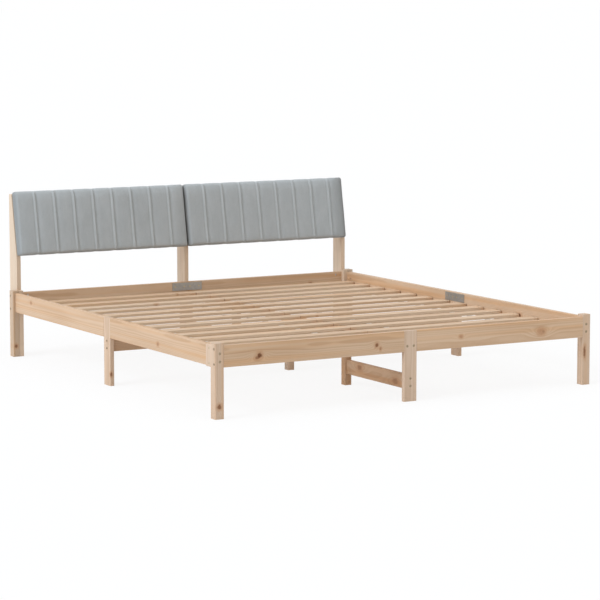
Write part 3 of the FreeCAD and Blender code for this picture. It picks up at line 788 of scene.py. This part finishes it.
def frontTone(across, up, width, height, look):
    # above 0 a painted highlight (tucks, top edge), below 0 painted shade (grooves, rims, right
    # end)
    away, toEnd = seamDistance(across, width, look), width - across
    tone = seamHump(away, look, *look["tuckPaintedLight"]) - seamHump(away, look, *look["groovePaintedShade"])
    tone *= min(1.0, min(up, height - up) / look["toneFade"] + look["leastAtEdge"])
    tone += look["topPaintedLight"] * hump(height - up, look["topReach"])
    end = hump(toEnd, look["endReach"]) + look["endWideShare"] * hump(toEnd, look["endWide"], 4)
    wall = min(up / look["wallReach"], across / look["leftWallReach"])
    return tone - look["endPaintedShade"] * end - look["wallPaintedShade"] * hump(wall, 1)


def roundedPlace(across, up, width, height, radius):
    # pulls the corners of the outline in to a quarter round
    x = min(across, width - across)
    y = min(up, height - up)
    if x >= radius or y >= radius:
        return across, up
    a = (radius - x) / radius
    b = (radius - y) / radius
    scale = max(a, b) / math.hypot(a, b)
    newX = radius - a * scale * radius
    newY = radius - b * scale * radius
    return newX if across < width / 2 else width - newX, newY if up < height / 2 else height - newY


def pinchedPlace(across, up, width, height, look):
    # draws the upper and lower edges in a little where a seam runs over them
    away = seamDistance(across, width, look)
    share = max(0.0, 1 - min(up, height - up) / look["rimRadius"])
    pull = look["pinch"] * hump(away, look["seamHalf"] * look["pinchReach"]) * share
    return up + pull if up < height / 2 else up - pull


def addGrids(mesh, tone, columns, rows, low, high, look):
    # the front of the cushion, and its back with a recess for the backing board
    width, height = (high - low)[:2]
    inset, edge = look["boardInset"] - look["clearance"], look["backRound"]
    front, back = {}, {}
    for i, across in enumerate(columns):
        for j, up in enumerate(rows):
            x, y = roundedPlace(across, up, width, height, look["cornerRadius"])
            y = pinchedPlace(x, y, width, height, look)
            out = frontDepth(across, up, width, height, high[2] - look["swellRoom"], look)
            front[i, j] = mesh.verts.new((low[0] + x, low[1] + y, out))
            front[i, j][tone] = frontTone(across, up, width, height, look)
            out = look["boardDepth"]
            if not (inset <= across <= width - inset and inset <= up <= height - inset):
                x, y = min(max(x, edge), width - edge), min(max(y, edge), height - edge)
                out = look["clearance"]
            back[i, j] = mesh.verts.new((low[0] + x, low[1] + y, out))
            # the back gets the full painted wall shade
            back[i, j][tone] = -look["wallPaintedShade"]
    return front, back


def joinGrids(mesh, front, back, columns, rows, look):
    # fills both grids; the flat floor of the recess becomes long strips, and its inner points go
    lastI, lastJ = len(columns) - 1, len(rows) - 1
    firstI, firstJ = columns.index(look["boardInset"]), rows.index(look["boardInset"])
    endI, endJ = lastI - firstI, lastJ - firstJ
    for i in range(lastI):
        for j in range(lastJ):
            mesh.faces.new((front[i, j], front[i + 1, j], front[i + 1, j + 1], front[i, j + 1]))
            if not (firstI <= i < endI and firstJ <= j < endJ):
                mesh.faces.new((back[i, j + 1], back[i + 1, j + 1], back[i + 1, j], back[i, j]))
    for i in range(firstI, endI):
        strip = [(i, firstJ), (i + 1, firstJ)]
        if i + 1 == endI:
            strip += [(endI, j) for j in range(firstJ + 1, endJ)]
        strip += [(i + 1, endJ), (i, endJ)]
        if i == firstI:
            strip += [(firstI, j) for j in range(endJ - 1, firstJ, -1)]
        mesh.faces.new([back[key] for key in reversed(strip)])
    for (i, j), vertex in list(back.items()):
        if firstI < i < endI and firstJ < j < endJ:
            mesh.verts.remove(vertex)
            del back[i, j]


def addWalls(mesh, tone, front, back, lastI, lastJ, look):
    # a few rows from the front rim to the back rim, upright down to the last one
    loop = [(i, 0) for i in range(lastI)] + [(lastI, j) for j in range(lastJ)]
    loop += [(i, lastJ) for i in range(lastI, 0, -1)] + [(0, j) for j in range(lastJ, 0, -1)]
    walls = []
    for key in loop:
        column = [front[key]]
        for share in look["wallRows"]:
            spot = front[key].co.lerp(back[key].co, share)
            if share < look["wallRows"][-1]:
                spot.x, spot.y = front[key].co.x, front[key].co.y
            column.append(mesh.verts.new(spot))
            # painted shade grows from the front rim towards the back
            column[-1][tone] = front[key][tone] * (1 - share) - look["wallPaintedShade"] * share
        walls.append(column + [back[key]])
    for column, following in zip(walls, walls[1:] + walls[:1]):
        for k in range(len(column) - 1):
            mesh.faces.new((following[k], column[k], column[k + 1], following[k + 1]))
    return [vertex for column in walls for vertex in column[1:-1]]


def finishMesh(mesh, name):
    data = bpy.data.meshes.new(name)
    bmesh.ops.recalc_face_normals(mesh, faces=mesh.faces)
    mesh.to_mesh(data)
    mesh.free()
    piece = bpy.data.objects.new(name, data)
    bpy.context.scene.collection.objects.link(piece)
    return piece


def buildCushion(name, node, look):
    # the sewn form before it is blown up, in cushion space: across, up, out
    corners = [leanCoords(v.co) for v in cad[node].data.vertices]
    low = Vector([min(c[k] for c in corners) for k in range(3)])
    high = Vector([max(c[k] for c in corners) for k in range(3)])
    width, height = (high - low)[:2]
    columns, rows = channelColumns(width, look), channelRows(height, look)
    lastI, lastJ = len(columns) - 1, len(rows) - 1
    mesh = bmesh.new()
    # the tone layer carries painted light and shade for the cover
    tone = mesh.verts.layers.float.new("tone")
    front, back = addGrids(mesh, tone, columns, rows, low, high, look)
    joinGrids(mesh, front, back, columns, rows, look)
    pinned = addWalls(mesh, tone, front, back, lastI, lastJ, look) + list(back.values())
    start, end = look["sewnBand"]
    for (i, j), vertex in front.items():
        sewn = start < seamDistance(columns[i], width, look) / look["seamHalf"] < end
        if sewn or i in (0, lastI) or j in (0, lastJ):
            pinned.append(vertex)
    mesh.verts.index_update()
    pinned = [vertex.index for vertex in pinned]
    return finishMesh(mesh, name), pinned, (low, width, height)


def puffCushion(piece, pinned, look):
    # blows the cloth up between its seams, then keeps each point within reach of where it began
    start = [v.co.copy() for v in piece.data.vertices]
    group = piece.vertex_groups.new(name="sewn")
    group.add(pinned, 1.0, "REPLACE")
    cloth = piece.modifiers.new("puff", "CLOTH")
    settings = cloth.settings
    settings.vertex_group_mass = "sewn"
    for key, value in look["cloth"].items():
        setattr(settings, key, value)
    settings.use_pressure = True
    settings.uniform_pressure_force = look["pressure"]
    settings.shrink_min = -look["slack"]
    settings.effector_weights.gravity = 0
    cloth.collision_settings.use_collision = False
    scene = bpy.context.scene
    scene.frame_start, scene.frame_end = 1, look["frames"]
    for step in range(1, look["frames"] + 1):
        scene.frame_set(step)
    graph = bpy.context.evaluated_depsgraph_get()
    settled = [v.co.copy() for v in piece.evaluated_get(graph).data.vertices]
    piece.modifiers.remove(cloth)
    piece.vertex_groups.remove(group)
    scene.frame_set(1)
    longest = 0.0
    for vertex, before, after in zip(piece.data.vertices, start, settled):
        move = after - before
        longest = max(longest, move.length)
        if move.length > look["mostMove"]:
            move = move.normalized() * look["mostMove"]
        vertex.co = before + move
    print(piece.name, "puffed, longest move", round(longest * 1000, 2), "mm")


def relaxCushion(piece, box, look):
    # small hand-worked dents that no two channels share, and puckers beside the seams
    rng = random.Random(piece.name + "dents")
    seed = Vector((rng.uniform(0, 50), rng.uniform(0, 50), 0))
    (left, _, _), width, _ = box
    (dentX, dentY), (puckerX, puckerY) = look["dentScale"], look["puckerScale"]
    for vertex in piece.data.vertices:
        x, y, out = vertex.co
        if out > look["rimDepth"] * look["dentsFrom"]:
            dent = noise.noise(Vector((x * dentX, y * dentY, 0)) + seed)
            pucker = noise.noise(Vector((x * puckerX, y * puckerY, 3)) + seed)
            pucker *= hump(seamDistance(x - left, width, look), look["puckerReach"])
            vertex.co.z += look["dents"] * dent + look["puckers"] * pucker


def addStitch(mesh, start, end, look):
    axis = (end - start).normalized()
    side = axis.cross(Vector((0, 0, 1))).normalized()
    lift = side.cross(axis)
    sides, last = look["stitchSides"], None
    for share, fat in look["stitchRings"]:
        arch = look["stitchArch"] * math.sin(math.pi * share) - look["stitchSink"]
        centre = start.lerp(end, share) + lift * look["stitchRadius"] * arch
        ring = []
        for k in range(sides):
            turn = 2 * math.pi * k / sides
            away = side * math.cos(turn) + lift * math.sin(turn)
            ring.append(mesh.verts.new(centre + away * look["stitchRadius"] * fat))
        if last:
            for k in range(sides):
                n = (k + 1) % sides
                mesh.faces.new((last[k], last[n], ring[n], ring[k]))
        else:
            mesh.faces.new(ring[::-1])
        last = ring
    mesh.faces.new(last)


def addStitches(name, piece, box, look):
    # short raised stitches in two lines along every seam
    low, width, height = box
    points = [v.co for v in piece.data.vertices]
    surface = BVHTree.FromPolygons(points, [p.vertices[:] for p in piece.data.polygons])
    mesh = bmesh.new()
    rng = random.Random(name)
    inward, above = Vector((0, 0, -1)), 0.2
    margin = look["rimRadius"] * look["stitchMargin"]
    for seam in seamPlaces(width, look):
        for line in (-1, 1):
            across = low[0] + seam + line * look["seamHalf"]
            up = low[1] + margin
            while up < low[1] + height - margin:
                ends = []
                for place in (up, up + look["stitchLength"]):
                    x = across + rng.uniform(-1, 1) * look["stitchWobble"]
                    ends.append(surface.ray_cast(Vector((x, place, above)), inward)[0])
                if all(ends):
                    addStitch(mesh, *ends, look)
                up += look["stitchStep"]
    return finishMesh(mesh, name)


def standUp(piece):
    # from cushion space to the leaning face
    for vertex in piece.data.vertices:
        vertex.co = leanPoint(*vertex.co)


cover, thread = coverMaterial(cushion), threadMaterial(cushion)
# the right one is drawn harder round its outer end, with painted shade towards it
rightCushion = dict(cushion, rightEnd=(0.075, 0.020), endPaintedShade=0.62)
for side, look in (("left", cushion), ("right", rightCushion)):
    pad, pinned, box = buildCushion("cushion_cover_" + side, "headboard_cushion_" + side, look)
    puffCushion(pad, pinned, look)
    relaxCushion(pad, box, look)
    stitches = addStitches("cushion_stitches_" + side, pad, box, look)
    for piece, material in ((pad, cover), (stitches, thread)):
        standUp(piece)
        piece.data.materials.append(material)
        piece.data.polygons.foreach_set("use_smooth", [True] * len(piece.data.polygons))
        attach(piece, "root")
    smooth = pad.modifiers.new("smooth", "SUBSURF")
    smooth.levels = smooth.render_levels = 1
    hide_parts("headboard_cushion_" + side)
print("cushions sewn")

# Camera, light and floor

camera = {
    "place": (-5.7391, -10.1218, 1.7626),
    "turnDegrees": -29.870,
    "downDegrees": 7.093,
    "focalPixels": 2582.5,
    "frameWidth": 600,
    "sensorWidth": 36.0,
    "clipEnd": 200,
}


def addCamera(look):
    data = bpy.data.cameras.new("camera")
    data.sensor_width = look["sensorWidth"]
    data.lens = look["focalPixels"] / look["frameWidth"] * look["sensorWidth"]
    data.clip_end = look["clipEnd"]
    eye = bpy.data.objects.new("camera", data)
    eye.location = look["place"]
    tilt, turn = math.radians(90 - look["downDegrees"]), math.radians(look["turnDegrees"])
    eye.rotation_euler = (tilt, 0, turn)
    bpy.context.scene.collection.objects.link(eye)
    bpy.context.scene.camera = eye


# from where, how strong, how wide in degrees, colour
lights = {
    "keyLight": ((-0.85, -0.10, 0.55), 1.85, 35, (0.93, 1.02, 1.15)),
    "fillLight": ((0.35, -0.85, 0.55), 0.25, 60, (1.0, 1.0, 1.0)),
    "topLight": ((0.0, 0.05, 1.0), 0.85, 90, (1.0, 1.0, 1.0)),
}
backdrop = {
    "worldStrength": 0.45,
    "white": (1.0, 1.0, 1.0, 1),
    "floorColour": (0.92, 0.92, 0.92, 1),
    "floorRoughness": 0.9,
    "floorOwnLight": 0.86,
    "floorReach": 120,
    "floorDrop": 0.0005,
}


def addSun(name, fromDirection, strength, angle, colour):
    data = bpy.data.lights.new(name, "SUN")
    data.energy = strength
    data.color = colour
    data.angle = math.radians(angle)
    lamp = bpy.data.objects.new(name, data)
    lamp.rotation_euler = Vector(fromDirection).to_track_quat("Z", "Y").to_euler()
    bpy.context.scene.collection.objects.link(lamp)


def seenByEye(tree):
    # camera, glossy and see-through rays get the plain background
    path = addNode(tree, "LightPath").outputs
    seen = addMath(tree, "MAXIMUM", path["Is Camera Ray"], path["Is Glossy Ray"])
    return addMath(tree, "MAXIMUM", seen, path["Is Transmission Ray"])


def addWorld(look):
    world = bpy.data.worlds.new("studio")
    bpy.context.scene.world = world
    world.use_nodes = True
    tree = world.node_tree
    tree.nodes.clear()
    given = {"Color": look["white"], "Strength": look["worldStrength"]}
    ambient = addNode(tree, "Background", given).outputs[0]
    plain = addNode(tree, "Background", {"Color": look["white"], "Strength": 1.0}).outputs[0]
    mix = addNode(tree, "MixShader", {0: seenByEye(tree), 1: ambient, 2: plain})
    output = tree.nodes.new("ShaderNodeOutputWorld")
    tree.links.new(mix.outputs[0], output.inputs["Surface"])


def addFloor(look):
    mesh = bpy.data.meshes.new("floor")
    reach = look["floorReach"]
    corners = [(-reach, -reach, 0), (reach, -reach, 0), (reach, reach, 0), (-reach, reach, 0)]
    mesh.from_pydata(corners, [], [(0, 1, 2, 3)])
    floor = bpy.data.objects.new("floor", mesh)
    bpy.context.scene.collection.objects.link(floor)
    material, tree, shader = startMaterial("floor")
    shader.inputs["Base Color"].default_value = look["floorColour"]
    shader.inputs["Roughness"].default_value = look["floorRoughness"]
    shader.inputs["Specular IOR Level"].default_value = 0.0
    glow = addNode(tree, "Emission", {"Color": look["white"], "Strength": 1.0}).outputs[0]
    share = addMath(tree, "MULTIPLY", seenByEye(tree), look["floorOwnLight"])
    mix = addNode(tree, "MixShader", {0: share, 1: shader.outputs[0], 2: glow})
    output = next(node for node in tree.nodes if node.type == "OUTPUT_MATERIAL")
    tree.links.new(mix.outputs[0], output.inputs["Surface"])
    mesh.materials.append(material)
    floor.location.z = cadLow.z - look["floorDrop"]


addCamera(camera)
for name, values in lights.items():
    addSun(name, *values)
addWorld(backdrop)
addFloor(backdrop)
bpy.context.scene.view_settings.view_transform = "Standard"
print("studio set")
